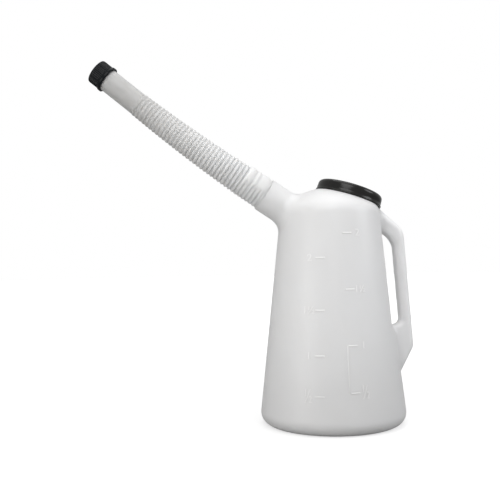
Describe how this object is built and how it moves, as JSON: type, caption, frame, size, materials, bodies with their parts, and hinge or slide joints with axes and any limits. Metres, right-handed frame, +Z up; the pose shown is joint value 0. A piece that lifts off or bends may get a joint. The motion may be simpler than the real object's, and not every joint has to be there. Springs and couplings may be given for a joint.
{
  "type": "oil measuring jug",
  "caption": "Translucent tapering measuring jug with a hollow side handle, a tilted filler mouth under a push-on lid, and a flexible corrugated spout with a screw cap.",
  "frame": {"origin": "centre of the jug's foot ring, on the floor", "axes": "+Z up, +X towards the handle, -X towards the spout, -Y towards the side with the scale marks"},
  "size_m": [0.3209, 0.1444, 0.3625],
  "materials": {
    "translucent_body": "natural translucent polyethylene, soft sheen",
    "translucent_spout": "natural translucent soft polyethylene, smooth",
    "black_lid": "satin black",
    "black_cap": "satin black, ribbed",
    "sealing_disc": "matt white foam"
  },
  "bodies": {
    "jug": {"jug_body": "translucent_body"},
    "lid": {"filler_lid": "black_lid"},
    "spout": {"flexible_spout": "translucent_spout"},
    "cap_seal": {"spout_cap_seal": "sealing_disc"},
    "cap": {"spout_cap": "black_cap"}
  },
  "joints": [
    {"name": "lid_lift", "type": "slide", "parent": "jug", "child": "lid", "axis": [0.3123, 0, 0.95], "range_m": [0, 0.025]},
    {"name": "spout_bend", "type": "hinge", "parent": "jug", "child": "spout", "pos_m": [-0.14009, 0.00228, 0.28057], "axis": [0, 1, 0], "range_deg": [-45, 45], "deforming": ["flexible_spout"]},
    {"name": "cap_lift", "type": "slide", "parent": "spout", "child": "cap_seal", "axis": [-0.7575, 0.1449, 0.6366], "range_m": [0, 0.0061]},
    {"name": "cap_turn", "type": "hinge", "parent": "cap_seal", "child": "cap", "pos_m": [-0.21781, 0.01465, 0.34365], "axis": [-0.7575, 0.1449, 0.6366], "range_deg": [0, 720]}
  ],
  "couplings": [
    {"joint": "cap_lift", "follows": "cap_turn", "m_per_rad": 0.00047746}
  ]
}
